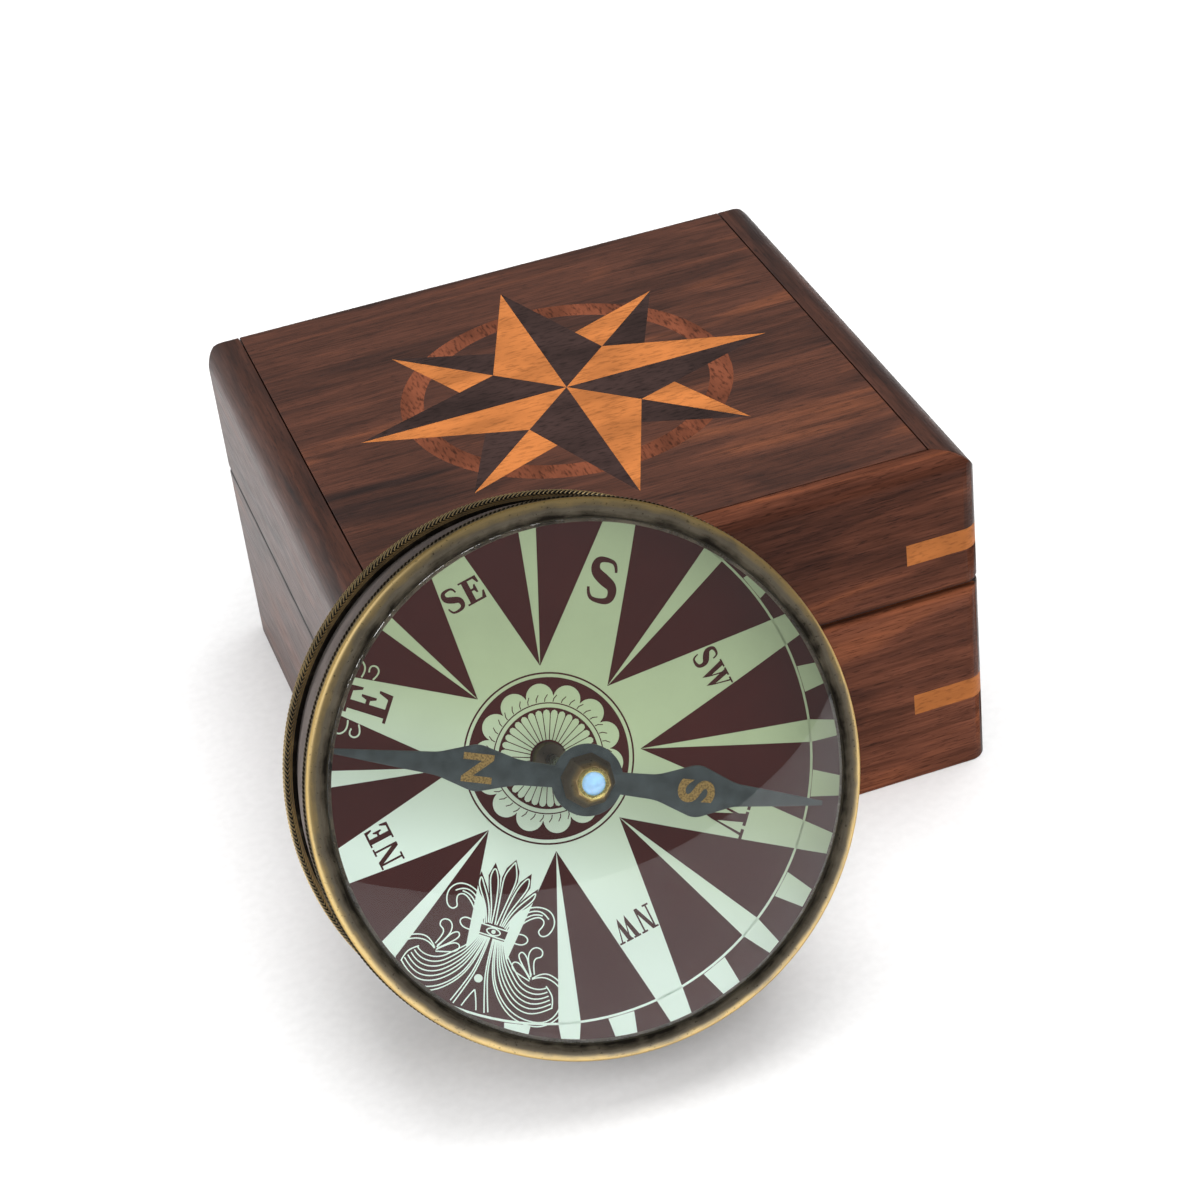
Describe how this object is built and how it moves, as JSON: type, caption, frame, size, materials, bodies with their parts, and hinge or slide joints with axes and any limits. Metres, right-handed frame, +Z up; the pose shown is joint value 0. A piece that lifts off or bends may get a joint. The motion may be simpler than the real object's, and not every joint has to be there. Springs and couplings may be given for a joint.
{
  "type": "compass box",
  "caption": "Wooden keepsake box with a hinged lid and a star inlay, and a round brass magnetic compass with a domed lens that leans on its front edge.",
  "frame": {"origin": "middle of the box's underside, on the surface it stands on", "axes": "+X to the right along the box's front, +Y towards its hinged back, +Z up; the compass leans on the front edge, at -Y"},
  "size_m": [0.1159, 0.1477, 0.0814],
  "materials": {
    "rosewood_x": "satin lacquer, grain along X",
    "rosewood_y": "satin lacquer, grain along Y",
    "maple": "satin lacquer",
    "dark_inlay": "satin lacquer",
    "ring_inlay": "satin lacquer",
    "felt": "matt",
    "nickel": "satin",
    "hinge_brass": "satin",
    "antique_brass": "aged",
    "lens_glass": "polished",
    "gasket": "matt",
    "dial_metal": "satin",
    "dial_print": "matt print",
    "pivot_brass": "polished",
    "pivot_steel": "polished",
    "needle_steel": "satin, blued",
    "jewel_glass": "polished"
  },
  "bodies": {
    "base": {"base_front_wall": "rosewood_x", "base_back_wall": "rosewood_x", "base_left_wall": "rosewood_y", "base_right_wall": "rosewood_y", "base_bottom_panel": "rosewood_x", "base_corner_keys": "maple", "base_pad": "felt", "base_magnets": "nickel", "base_hinge_leaves": "hinge_brass", "base_hinge_screws": "hinge_brass", "hinge_pins": "hinge_brass"},
    "lid": {"lid_front_wall": "rosewood_x", "lid_back_wall": "rosewood_x", "lid_left_wall": "rosewood_y", "lid_right_wall": "rosewood_y", "lid_top_panel": "rosewood_x", "lid_corner_keys": "maple", "lid_pad": "felt", "lid_magnets": "nickel", "lid_hinge_leaves": "hinge_brass", "lid_hinge_screws": "hinge_brass", "star_cardinal_light": "maple", "star_cardinal_dark": "dark_inlay", "star_diagonal_light": "maple", "star_diagonal_dark": "dark_inlay", "star_ring": "ring_inlay"},
    "compass": {"compass_back_plate": "antique_brass", "compass_base_ring": "antique_brass", "compass_barrel": "antique_brass", "compass_bezel": "antique_brass", "compass_lens": "lens_glass", "lens_gasket": "gasket", "dial_plate": "dial_metal", "dial_card": "dial_print", "dial_snap_ring": "dial_metal", "pivot_base": "pivot_brass", "pivot_pin": "pivot_steel"},
    "needle": {"needle_blade": "needle_steel", "needle_cap": "pivot_brass", "jewel_ring": "pivot_brass", "needle_jewel": "jewel_glass"}
  },
  "joints": [
    {"name": "lid_hinge", "type": "hinge", "parent": "base", "child": "lid", "pos_m": [0, 0.046, 0.0348], "axis": [-1, 0, 0], "range_deg": [0, 100]},
    {"name": "compass_removal", "type": "slide", "parent": "base", "child": "compass", "axis": [-0.0184, -0.877, 0.4802], "range_m": [0, 0.0525]},
    {"name": "needle_swing", "type": "hinge", "parent": "compass", "child": "needle", "pos_m": [-0.02596, -0.07698, 0.0445], "axis": [-0.0184, -0.877, 0.4802], "continuous": true}
  ],
  "couplings": [
    {"joint": "compass_removal", "follows": "lid_hinge", "m_per_rad": 0.03}
  ]
}
